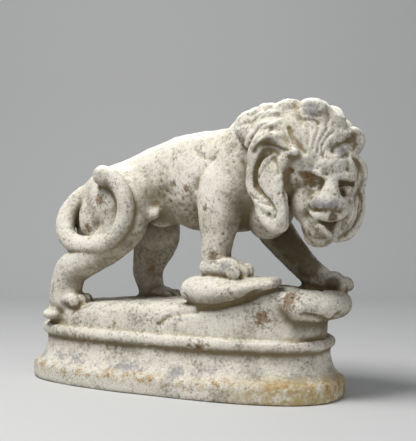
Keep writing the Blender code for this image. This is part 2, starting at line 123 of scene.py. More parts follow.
def moulding():
    """Profile from the ground up: a quarter of a cosine for the hollow, an arc for the bead."""
    # Inset and height of each ring of the foot band, whose lowest ring closes the underside
    rows = [
        (0.012, 0.0),
        (FOOT_CHAMFER, 0.0),
        (0.001, FOOT_CHAMFER * 0.6),
        (0.0, FOOT_CHAMFER * 1.5),
        (0.0, FOOT_HEIGHT * 0.8),
        (0.0025, FOOT_HEIGHT),
    ]
    for quarter in np.radians(np.linspace(12, 78, 8)):
        rise = HOLLOW_HEIGHT * (1 - np.cos(quarter * 0.96))
        rows.append((NECK_SETBACK * np.sin(quarter), FOOT_HEIGHT + rise))
    neck = FOOT_HEIGHT + HOLLOW_HEIGHT
    rows.append((NECK_SETBACK, neck - 0.003))
    for swing in np.radians(np.linspace(-72, 60, 9)):
        bulge = (NECK_SETBACK - BEAD_SETBACK) * np.cos(swing)
        rows.append((NECK_SETBACK - bulge, neck + BEAD_HEIGHT * (0.5 + 0.5 * np.sin(swing))))
    rows.append((NECK_SETBACK, PLINTH_HEIGHT))
    return rows


def plinth_form():
    """Ovals stacked up the moulding, each drawn in by the profile's inset at its height."""
    rings = []
    for inset, height in moulding():
        edge = plan(PLINTH_LENGTH / 2 - inset, PLINTH_DEPTH / 2 - inset, PLINTH_SIDES)
        rings.append(np.column_stack([edge, np.full(len(edge), height)]))
    return skin(np.array(rings))


# The body: trunk, legs, feet and tail, drawn as swelling tubes and egg-shaped masses like clay on
# an armature. One step of their grid is a millimetre, counted up from the top of the plinth.
LION_HEIGHT = 0.398
STEP = LION_HEIGHT / 398
CAP_ANGLES = [84, 68, 48, 24]


def unit(vectors):
    return vectors / np.linalg.norm(vectors, axis=-1, keepdims=True)


def spread(rows, per_span):
    """Smooth cubic curve through the rows: each span bends by its four nearest rows, radii too."""
    rows = np.asarray(rows, float)
    padded = np.vstack([2 * rows[0] - rows[1], rows, 2 * rows[-1] - rows[-2]])
    before, start, end, after = (padded[i : len(padded) - 3 + i, None] for i in range(4))
    t = (np.arange(per_span) / per_span)[None, :, None]
    curve = start + 0.5 * t * (
        end - before
        + t * (2 * before - 5 * start + 4 * end - after)
        + t**2 * (3 * start - before - 3 * end + after)
    )
    return np.vstack([curve.reshape(-1, rows.shape[1]), rows[-1:]])


def tube(stations, facing=(0, 1, 0), core=None, per_span=6, around=28):
    """Swelling tube with round ends, through stations (x, y, z, half width, half depth).

    Each ring is centre + across * width * cos(angle) + out * depth * sin(angle), where out is
    `facing`, or points away from `core`, made square to the path.
    """
    line = spread(stations, per_span)
    centre, wide, deep = line[:, :3], line[:, 3:4], line[:, 4:5]
    ahead = unit(np.gradient(centre, axis=0))
    out = np.broadcast_to(np.asarray(facing, float), centre.shape)
    if core is not None:
        out = centre - np.asarray(core, float)
    out = unit(out - (out * ahead).sum(1, keepdims=True) * ahead)
    across = np.cross(out, ahead)

    cap = np.radians(CAP_ANGLES)[:, None]
    start_cap = np.minimum(wide[0], deep[0]) * np.sin(cap)
    end_cap = np.minimum(wide[-1], deep[-1]) * np.sin(cap[::-1])
    centre = np.vstack([centre[0] - ahead[0] * start_cap, centre, centre[-1] + ahead[-1] * end_cap])
    wide = np.vstack([wide[0] * np.cos(cap), wide, wide[-1] * np.cos(cap[::-1])])
    deep = np.vstack([deep[0] * np.cos(cap), deep, deep[-1] * np.cos(cap[::-1])])
    first, last = [0] * len(cap), [-1] * len(cap)
    across = np.vstack([across[first], across, across[last]])
    out = np.vstack([out[first], out, out[last]])

    angle = np.linspace(0, 2 * np.pi, around, endpoint=False)[None, :, None]
    rings = (
        centre[:, None]
        + (across * wide)[:, None] * np.cos(angle)
        + (out * deep)[:, None] * np.sin(angle)
    )
    return skin(rings)


def rotation(turn, nod, tilt):
    """Rotation matrix: tilt about +X, then nod about +Y (nose down), then turn about +Z."""
    turn, nod, tilt = np.radians([turn, nod, tilt])
    about_z = [[np.cos(turn), -np.sin(turn), 0], [np.sin(turn), np.cos(turn), 0], [0, 0, 1]]
    about_y = [[np.cos(nod), 0, np.sin(nod)], [0, 1, 0], [-np.sin(nod), 0, np.cos(nod)]]
    about_x = [[1, 0, 0], [0, np.cos(tilt), -np.sin(tilt)], [0, np.sin(tilt), np.cos(tilt)]]
    return np.array(about_z) @ np.array(about_y) @ np.array(about_x)


def blob(centre, radii, turn=0, nod=0):
    """Egg-shaped mass: a ball on its polar and round angles, stretched by three radii and turned."""
    polar = np.radians(np.linspace(2, 178, 21))[:, None]
    angle = np.linspace(0, 2 * np.pi, 32, endpoint=False)[None, :]
    ball = np.stack(
        [
            -np.cos(polar) * np.ones_like(angle),
            np.sin(polar) * np.cos(angle),
            np.sin(polar) * np.sin(angle),
        ],
        -1,
    )
    return skin(ball * np.asarray(radii, float) @ rotation(turn, nod, 0).T + np.asarray(centre, float))


def trunk():
    """Ribcage, tucked waist and rump, from the tail to the chest, and the thick neck."""
    spine = [
        (-178, 0, 222, 44, 46),
        (-150, 0, 234, 53, 54),
        (-99, 0, 247, 57, 52),
        (-62, 0, 253, 66, 48),
        (-30, 0, 258, 72, 47),
        (4, 0, 262, 80, 54),
        (42, 0, 261, 88, 60),
        (78, 0, 261, 90, 63),
        (112, 0, 261, 90, 61),
        (150, -2, 256, 84, 55),
        (186, -8, 244, 70, 44),
    ]
    neck = [(126, 0, 306, 54, 52), (180, -12, 312, 70, 66), (232, -30, 300, 80, 72)]
    return [
        tube(spine, around=40),
        tube(neck, around=36),
        blob((182, -12, 218), (40, 44, 60), nod=20),
        blob((-36, -2, 188), (24, 13, 10), nod=-6),
    ]


def hind_legs():
    """The near hind leg stretches back, the far one steps forward."""
    near = [
        (-118, -44, 240, 58, 34),
        (-90, -50, 190, 47, 34),
        (-113, -54, 153, 36, 30),
        (-163, -56, 120, 31, 28),
        (-200, -56, 98, 32, 27),
        (-211, -55, 70, 32, 26),
        (-215, -55, 44, 33, 26),
    ]
    far = [
        (-100, 44, 235, 58, 34),
        (-84, 50, 172, 52, 33),
        (-91, 54, 140, 45, 30),
        (-99, 55, 113, 35, 27),
        (-104, 56, 90, 31, 25),
        (-97, 55, 66, 26, 23),
        (-93, 54, 46, 27, 23),
    ]
    flank_fold = [(-86, -42, 172, 17, 14), (-60, -42, 194, 14, 11), (-32, -40, 204, 10, 9)]
    return [
        tube(near),
        tube(far),
        tube(flank_fold),
        blob((-104, -42, 222), (66, 42, 68)),
        blob((-150, -38, 194), (38, 38, 46)),
        blob((-188, -16, 182), (26, 24, 44)),
        blob((-112, 42, 224), (60, 38, 66)),
    ]


def fore_legs():
    """The near foreleg stands upright on its boulder, the far one reaches forward."""
    near = [
        (112, -44, 262, 48, 32),
        (106, -51, 228, 45, 32),
        (103, -54, 192, 37, 30),
        (100, -56, 160, 28, 27),
        (98, -57, 134, 25, 25),
        (102, -58, 114, 26, 25),
    ]
    far = [
        (136, 38, 232, 44, 32),
        (158, 47, 180, 34, 28),
        (182, 50, 150, 29, 26),
        (205, 52, 124, 26, 24),
        (226, 52, 104, 25, 24),
        (242, 52, 92, 25, 23),
    ]
    return [
        tube(near),
        tube(far),
        blob((134, -40, 268), (56, 32, 66), nod=-12),
        blob((136, 38, 264), (54, 32, 64), nod=-12),
    ]


def paw(heel, reach, height, half_width, turn=0):
    """Rounded foot with four toes; heel is the middle of its back edge on the rock."""
    foot = [
        (0, 0, height * 0.55, half_width * 0.85, height * 0.55),
        (reach * 0.5, 0, height * 0.55, half_width * 0.95, height * 0.6),
        (reach * 0.8, 0, height * 0.42, half_width, height * 0.45),
    ]
    forms = [tube(foot, facing=(0, 0, 1))]
    for place in (-1.5, -0.5, 0.5, 1.5):
        forward = reach * (0.98 - 0.10 * abs(place))
        knuckle = (forward, place * half_width * 0.5, height * 0.40)
        forms.append(blob(knuckle, (reach * 0.22, half_width * 0.27, height * 0.44), turn=place * 6))
    return [(points @ rotation(turn, 0, 0).T + np.array(heel), faces) for points, faces in forms]


def paws():
    """One foot under each leg, standing on its own part of the rock."""
    return [
        *paw((88, -58, 98), 70, 30, 28, turn=-6),
        *paw((240, 52, 72), 54, 30, 26, turn=4),
        *paw((-224, -55, 34), 52, 27, 28),
        *paw((-106, 54, 40), 64, 24, 25),
    ]


def tail():
    """The tail leaves the rump, loops round the near haunch and ends in a round tuft."""
    loop = [
        (-142, -4, 268, 14, 14),
        (-182, -18, 246, 16, 17),
        (-206, -34, 221, 18, 19),
        (-217, -47, 191, 18, 19),
        (-209, -58, 164, 17, 18),
        (-180, -66, 147, 16, 17),
        (-132, -72, 147, 16, 17),
        (-95, -77, 161, 15, 16),
        (-73, -80, 187, 15, 16),
        (-66, -81, 216, 15, 16),
        (-75, -81, 243, 14, 16),
        (-93, -81, 264, 15, 17),
        (-113, -83, 271, 18, 19),
    ]
    return [tube(loop, core=(-145, -50, 210))]


# The head: skull, muzzle and dropped jaw under a heavy mane whose locks are combed back from the
# forehead, looking down and to the lion's right. The mane's mass and hanging locks are drawn on
# the head's own axes, the face and crown on the camera's: towards it, to its right, and up.
HEAD_CENTRE = (272, -49, 252)
HEAD_TURN = -38
HEAD_NOD = 18
HEAD_TILT = -7
SEEN_TURN = -62.3
MANE_CENTRE = (-30, -3, 33)
MANE_RADII = (62, 77, 86)


def on_head(form):
    """Carries a form from the head's own axes (forward, left, up) to its place on the neck."""
    points, faces = form
    return points @ rotation(HEAD_TURN, HEAD_NOD, HEAD_TILT).T + np.array(HEAD_CENTRE), faces


def as_seen(form):
    """Carries a form from the camera's side of the head (towards the camera, right, up) to it."""
    points, faces = form
    return points @ rotation(SEEN_TURN, 0, 0).T + np.array(HEAD_CENTRE), faces


def seen_tube(stations):
    """Tube drawn from the camera's side, its half depth towards the camera."""
    return as_seen(tube(stations, facing=(1, 0, 0)))


def face():
    """Broad forehead, sunken eyes, wide muzzle and dropped jaw, as they are seen by the camera."""
    masses = [
        blob((0, 6, 0), (32, 50, 56)),
        blob((17, 12, 31), (34, 37, 29)),
        blob((6, -18, -22), (33, 23, 38)),
        blob((2, 48, -24), (24, 15, 34)),
        blob((22, 17, -38), (29, 28, 20)),
        blob((-4, 12, -66), (24, 32, 26)),
        blob((8, 7, -80), (22, 24, 20)),
        blob((18, -40, 21), (15, 9, 13)),
    ]
    near_brow = [(30, -27, 20, 6, 7), (38, -14, 20, 7, 8), (43, -3, 18, 7, 8), (43, 8, 12, 6, 7)]
    far_brow = [(38, 31, 14, 7, 8), (30, 44, 14, 8, 9), (20, 56, 11, 6, 8)]
    bridge = [(36, 21, 14, 12, 12), (38, 21, 2, 13, 13), (40, 19, -11, 18, 16), (40, 17, -22, 26, 19)]
    nose = [
        (34, -7, -29, 9, 10),
        (41, 0, -27, 11, 13),
        (46, 9, -28, 11, 14),
        (47, 17, -28, 11, 14),
        (45, 26, -27, 11, 13),
        (37, 37, -29, 10, 11),
        (28, 43, -33, 8, 8),
    ]
    upper_lip = [
        (32, -8, -41, 7, 9),
        (37, -1, -47, 8, 11),
        (41, 9, -48, 9, 12),
        (40, 22, -48, 9, 12),
        (34, 34, -46, 9, 11),
        (24, 44, -41, 8, 9),
    ]
    near_jaw = [
        (10, -28, -28, 13, 14),
        (14, -18, -46, 13, 14),
        (19, -9, -59, 14, 15),
        (23, -1, -71, 15, 15),
        (24, 7, -80, 15, 14),
    ]
    far_jaw = [(10, 40, -52, 7, 10), (12, 34, -65, 6, 10), (16, 26, -82, 9, 11)]
    far_cheek = [(25, 42, -24, 6, 10), (15, 55, -21, 6, 10)]
    lower_lip = [(33, -8, -50, 4, 8), (36, 0, -60, 6, 10), (37, 8, -69, 7, 11), (33, 17, -79, 7, 11)]
    eyes = [blob((29, -3, 1), (10, 9, 7)), blob((18, 49, -8), (10, 7, 6))]
    lids = [
        [(34, -15, -3, 2.5, 4), (38, -10, 5, 3, 5), (39, -2, 8, 3, 5), (40, 5, 6, 2.5, 4)],
        [(34, -15, -6, 2.5, 3), (36, -9, -8, 3, 4), (38, -2, -7, 3, 4), (39, 5, 0, 2.5, 3)],
        [(28, 38, -4, 2.5, 4), (25, 47, -1, 3, 5), (18, 56, -4, 2.5, 4)],
    ]
    ridges = [near_brow, far_brow, bridge, nose, upper_lip, near_jaw, far_jaw, far_cheek, lower_lip, *lids]
    return [*[as_seen(mass) for mass in [*masses, *eyes]], *[seen_tube(ridge) for ridge in ridges]]


def lock(path, half_width, lift=5):
    """Lock of hair through points on the mane, lifted clear by a half sine and thickest midway."""
    path = np.asarray(path, float)
    swell = np.sin(np.pi * np.linspace(0.08, 0.92, len(path)) ** 0.85)[:, None]
    centre = path + unit(path - np.array(MANE_CENTRE)) * lift * swell
    width = half_width * (0.35 + 0.65 * swell)
    return on_head(tube(np.hstack([centre, width, width * 0.85]), core=MANE_CENTRE))


def on_mane(forward, around):
    """Point on the mane's mass: degrees back from the nose, and degrees round it from the crown."""
    forward, around = np.radians([forward, around])
    shape = [np.cos(forward), -np.sin(forward) * np.sin(around), np.sin(forward) * np.cos(around)]
    return np.array(MANE_CENTRE) + np.array(shape) * np.array(MANE_RADII)


def crown():
    """Rolls over the crown, each combed back from the forehead: the camera's side of the mane."""
    backing = [
        blob((0, -14, 92), (40, 62, 40)),
        blob((0, -74, 78), (26, 28, 36)),
        blob((-22, -92, 91), (26, 35, 30)),
        blob((-2, 66, 72), (10, 9, 14)),
        blob((-6, 60, 20), (16, 16, 36)),
        blob((4, -64, 94), (22, 22, 22)),
        blob((14, -62, 94), (20, 16, 14)),
        blob((9, 54, 26), (14, 10, 24)),
        blob((-8, -74, 117), (12, 16, 10)),
    ]
    rolls = [
        # The thick roll over the forehead, and the one beside it that runs down to the bun
        [(14, -23, 119, 13, 11), (22, -14, 121, 16, 14), (24, -1, 120, 17, 14), (18, 10, 116, 13, 13),
         (8, 20, 110, 9, 10)],
        [(12, 17, 105, 8, 9), (10, 27, 106, 11, 11), (5, 38, 101, 11, 11), (0, 44, 92, 8, 9)],
        # The crown and the knob behind it
        [(8, -32, 126, 12, 12), (10, -46, 125, 13, 13), (8, -59, 120, 9, 11)],
        [(-8, -70, 125, 5, 8), (-10, -80, 126, 7, 9), (-11, -86, 122, 6, 8)],
        [(-14, -91, 119, 6, 8), (-16, -102, 115, 8, 10), (-20, -114, 108, 8, 9), (-24, -123, 97, 6, 8)],
        # Three rolls that sweep from the parting over the temple and down behind the ear
        [(16, -56, 113, 6, 9), (12, -68, 115, 7, 10), (6, -82, 112, 7, 10), (-2, -93, 105, 7, 9),
         (-10, -106, 94, 6, 8), (-16, -115, 83, 4, 6)],
        [(26, -55, 98, 5, 8), (24, -69, 96, 7, 10), (17, -83, 94, 7, 10), (8, -92, 87, 6, 9),
         (0, -101, 78, 6, 9), (-8, -107, 65, 5, 7)],
        [(38, -51, 59, 5, 7), (36, -59, 71, 8, 10), (32, -68, 77, 9, 11), (26, -79, 77, 9, 11),
         (18, -90, 70, 8, 11), (10, -98, 59, 7, 9), (4, -103, 45, 6, 8)],
        # The forelock and the strands that fall to the hairline
        [(18, -44, 106, 11, 10), (28, -35, 95, 13, 11), (34, -28, 82, 12, 10), (38, -23, 67, 9, 9),
         (42, -20, 55, 5, 7)],
        [(26, -56, 101, 4, 7), (32, -51, 86, 6, 8), (38, -44, 70, 6, 8), (42, -35, 58, 5, 7),
         (44, -25, 50, 3, 5)],
        [(34, -37, 72, 5, 6), (39, -30, 61, 5, 6), (42, -20, 51, 4, 5)],
        [(28, -7, 99, 6, 8), (34, -4, 85, 7, 8), (38, -4, 70, 6, 8), (42, -6, 56, 5, 6)],
        [(22, 11, 105, 5, 8), (32, 5, 90, 5, 8), (38, 3, 74, 5, 7), (43, 0, 55, 4, 5)],
        [(20, 24, 92, 5, 8), (30, 14, 80, 6, 8), (37, 7, 67, 5, 7), (43, 4, 51, 5, 6)],
        # The curl over the far brow, the bun beside it and the hair down the far temple
        [(6, 55, 79, 5, 8), (12, 46, 81, 6, 9), (20, 34, 78, 7, 10), (28, 23, 69, 7, 10),
         (35, 17, 58, 6, 8), (40, 16, 45, 5, 6)],
        [(4, 59, 56, 5, 7), (14, 46, 54, 5, 7), (24, 34, 49, 5, 7)],
        [(4, 55, 87, 5, 8), (2, 64, 88, 7, 10), (-3, 73, 79, 8, 10), (-5, 74, 67, 8, 10),
         (-3, 68, 55, 6, 8), (2, 57, 63, 5, 8)],
        [(14, 49, 48, 6, 7), (4, 63, 44, 8, 9), (-8, 77, 31, 9, 10), (-14, 79, 12, 9, 10),
         (-16, 75, -7, 8, 9)],
        [(20, 55, 43, 4, 6), (14, 60, 27, 4, 6), (10, 63, 8, 4, 6), (8, 63, -11, 4, 6)],
    ]
    return [*[as_seen(mass) for mass in backing], *[seen_tube(roll) for roll in rolls]]


def mane():
    """Rounded mass of the mane, with the locks of its far side and back."""
    forms = [on_head(blob(MANE_CENTRE, MANE_RADII))]
    for around in range(-150, 0, 22):
        forms.append(lock([on_mane(reach, around + reach / 5) for reach in (76, 96, 116, 134)], 11))
    for around in range(-120, 121, 24):
        forms.append(lock([on_mane(reach, around - reach / 8) for reach in (112, 130, 148, 166)], 12))
    return forms


def hanging_locks():
    """The heavy mass of hair that hangs on each side of the face, curled at its edge."""
    near_rim = [
        (18, -62, 52, 7, 7),
        (0, -70, 52, 9, 8),
        (-18, -79, 53, 10, 9),
        (-36, -88, 48, 10, 9),
        (-45, -92, 28, 10, 9),
        (-46, -92, 0, 10, 9),
        (-38, -88, -28, 9, 9),
        (-20, -80, -42, 9, 8),
        (2, -70, -50, 7, 7),
    ]
    near_tongue = [
        (2, -66, 38, 10, 9),
        (-4, -70, 14, 13, 11),
        (2, -66, -12, 15, 13),
        (14, -60, -38, 15, 13),
        (22, -56, -60, 13, 12),
    ]
    near_fold = [(-24, -76, -46, 10, 10), (-8, -68, -64, 12, 12), (12, -60, -72, 13, 12),
                 (24, -54, -66, 11, 11)]
    far_rim = [
        (0, 70, 24, 9, 9),
        (-10, 88, 8, 11, 10),
        (-10, 100, -18, 12, 11),
        (-6, 102, -46, 13, 12),
        (0, 90, -70, 13, 12),
        (4, 70, -80, 12, 11),
    ]
    far_tongue = [(4, 66, 10, 10, 10), (4, 74, -14, 12, 12), (6, 74, -40, 14, 12),
                  (10, 62, -64, 14, 12)]
    near_backing = [(-30, -74, 30, 24, 13), (-26, -74, -4, 26, 14), (-8, -66, -34, 24, 13),
                    (8, -60, -54, 18, 11)]
    far_backing = [(-30, 72, 24, 24, 14), (-20, 80, -10, 26, 14), (-8, 82, -44, 22, 13),
                   (0, 78, -62, 16, 11)]
    rows = [near_rim, near_tongue, near_fold, far_rim, far_tongue, near_backing, far_backing]
    return [on_head(tube(row)) for row in rows]


def neck_crest():
    """Rolls of mane that lie over the back of the neck like saddles, combed backwards."""
    crowns = [(108, 344), (130, 361), (155, 374), (182, 380), (208, 381)]
    forms = []
    for x, z in crowns:
        sway = -0.25 * (x - 108)
        roll = [
            (x - 26, 54 + sway, z - 62, 8, 8),
            (x - 12, 40 + sway, z - 26, 13, 11),
            (x, 4 + sway, z, 15, 13),
            (x - 12, -32 + sway, z - 26, 13, 11),
            (x - 26, -46 + sway, z - 62, 8, 8),
        ]
        forms.append(tube(roll, core=(x, sway, z - 90)))
    return forms


# The rock: the ground the lion walks on, a boulder under its near forefoot and a lip that hangs
# over the end of the plinth under its far one, all carved from the same block.
ROCK_SETBACK = 0.029
JOIN_OVERLAP = 0.012


def ground(x):
    """Height of the rock under the lion: it climbs gently, and steeply under the forelegs."""
    gentle = np.clip((x + 250) / 230, 0, 1)
    steep = np.clip((x - 20) / 150, 0, 1)
    return 39 + 13 * gentle + 33 * steep**2 * (3 - 2 * steep)


def mound():
    """An oval hill that fills the plinth inside its bead: rings of the oval, drawn in as they rise."""
    half_length = PLINTH_LENGTH / 2 - ROCK_SETBACK
    half_depth = PLINTH_DEPTH / 2 - ROCK_SETBACK
    edge = plan(half_length / STEP, half_depth / STEP, 120)
    rings = [np.column_stack([edge * 0.96, np.full(len(edge), -JOIN_OVERLAP / STEP)])]
    for inward, rise in ((1, 0), (1, 0.3), (0.98, 0.6), (0.92, 0.83), (0.78, 0.96), (0.4, 1), (0.02, 1)):
        flat = edge * inward
        rings.append(np.column_stack([flat, ground(flat[:, 0]) * rise]))
    return skin(np.array(rings))


def kept_inside(form):
    """Holds a swell of the rock within the bead of the plinth, and cuts it off below the join."""
    points, faces = form
    half = np.array([PLINTH_LENGTH / 2 - ROCK_SETBACK, PLINTH_DEPTH / 2 - ROCK_SETBACK]) / STEP
    reach = (np.abs(points[:, :2] / half) ** PLINTH_SQUARENESS).sum(1) ** (1 / PLINTH_SQUARENESS)
    points[:, :2] /= np.maximum(reach, 1)[:, None]
    points[:, 2] = np.maximum(points[:, 2], -JOIN_OVERLAP / STEP)
    return points, faces


def rock():
    """The mound with the swells of its front face and the lip that overhangs under the far paw."""
    lip = [(248, -54, 58, 34, 27), (270, -28, 55, 38, 26), (276, 14, 53, 37, 25), (262, 62, 54, 34, 23)]
    swells = [
        blob((-104, -54, 4), (138, 43, 42), nod=-2),
        blob((104, -54, 6), (84, 46, 50), nod=-4),
        blob((200, -50, 10), (68, 48, 72), turn=-4),
        blob((-60, 58, 8), (190, 38, 36), nod=-3),
        blob((176, 54, 12), (90, 40, 64), nod=-4),
    ]
    end_roll = blob((-234, -24, 18), (30, 66, 15))
    return [mound(), tube(lip, facing=(0, 0, 1)), end_roll, *[kept_inside(swell) for swell in swells]]


def boulder():
    """Rounded slab that the near forefoot stands on."""
    slab = [
        (62, -56, 75, 38, 24),
        (95, -60, 75, 45, 27),
        (132, -60, 79, 45, 24),
        (170, -56, 86, 42, 16),
        (204, -50, 92, 34, 9),
    ]
    return [tube(slab, facing=(0, 0, 1), around=36)]


# The block: the forms are fused into one skin, the soft ones first so that muscles and swells run
# into each other, as they do under a rasp.
BODY_GRAIN = 0.0040
BODY_SOFTENING = 9
HEAD_GRAIN = 0.0021
HEAD_SOFTENING = 4
FINE_GRAIN = 0.0021
FINE_SOFTENING = 2
SOFTENING_SHARE = 0.5
PIECE_TRIANGLES = 195_000


def draft(name, forms=(), meshes=(), metric=()):
    """Object that holds forms on the lion's grid, ready meshes and forms in metres, still apart."""
    points, faces, count = [], [], 0
    lift = np.array([0, 0, PLINTH_HEIGHT])
    groups = [(form[0] * STEP + lift, form[1]) for form in forms] + list(metric)
    for mesh in meshes:
        groups.append((vertices_of(mesh), [list(polygon.vertices) for polygon in mesh.polygons]))
    for form_points, form_faces in groups:
        points.append(form_points)
        faces += [[index + count for index in polygon] for polygon in form_faces]
        count += len(form_points)
    mesh = bpy.data.meshes.new(name)
    mesh.from_pydata(np.vstack(points).tolist(), [], faces)
    return linked(name, mesh)


def vertices_of(mesh):
    flat = np.empty(len(mesh.vertices) * 3)
    mesh.vertices.foreach_get("co", flat)
    return flat.reshape(-1, 3)


def fused(thing, grain, softening):
    """Mesh of an object's forms, fused by voxels of one grain and softened; the object is removed."""
    fuse = thing.modifiers.new("fuse", "REMESH")
    fuse.mode = "VOXEL"
    fuse.voxel_size = grain
    soften = thing.modifiers.new("soften", "SMOOTH")
    soften.factor = SOFTENING_SHARE
    soften.iterations = softening
    depsgraph = bpy.context.evaluated_depsgraph_get()
    mesh = bpy.data.meshes.new_from_object(thing.evaluated_get(depsgraph))
    bpy.data.objects.remove(thing)
    return mesh


soft_forms = [*trunk(), *hind_legs(), *fore_legs(), *rock()]
soft_mesh = fused(draft("soft_draft", soft_forms), BODY_GRAIN, BODY_SOFTENING)
head_forms = [*face(), *crown(), *mane(), *hanging_locks(), *neck_crest()]
head_mesh = fused(draft("head_draft", head_forms), HEAD_GRAIN, HEAD_SOFTENING)
crisp_forms = [*paws(), *tail(), *boulder()]
block_draft = draft("block_draft", crisp_forms, [soft_mesh, head_mesh], [plinth_form()])
block = fused(block_draft, FINE_GRAIN, FINE_SOFTENING)
points = vertices_of(block)


# The chisel: each stroke is drawn on the photograph's pixels, 416 wide and 441 high, and thrown
# from the camera onto the block, where it sinks a groove of its own width and depth.
RAY_STEPS = 6
CARVE_REACH = 3
SHORTEST_SPAN = 1e-12


def thrown(tree, pixels):
    """Points of the block behind the pixels of a stroke, where the camera's rays first meet it."""
    found = []
    for px, py in spread([(*pixel, 0) for pixel in pixels], RAY_STEPS)[:, :2]:
        sideways = view_right * (px - PHOTO_WIDTH / 2) / FOCAL_PIXELS
        upwards = view_up * (PHOTO_HEIGHT / 2 - py) / FOCAL_PIXELS
        ray = unit(view_ahead + sideways + upwards)
        place = tree.ray_cast(Vector(VIEW_PLACE), Vector(ray))[0]
        if place is not None:
            found.append(np.array(place))
    return np.array(found)


# How far the weather has spread and filled the strokes since they were cut
STROKE_SPREAD = 1.3
STROKE_SINK = 0.85

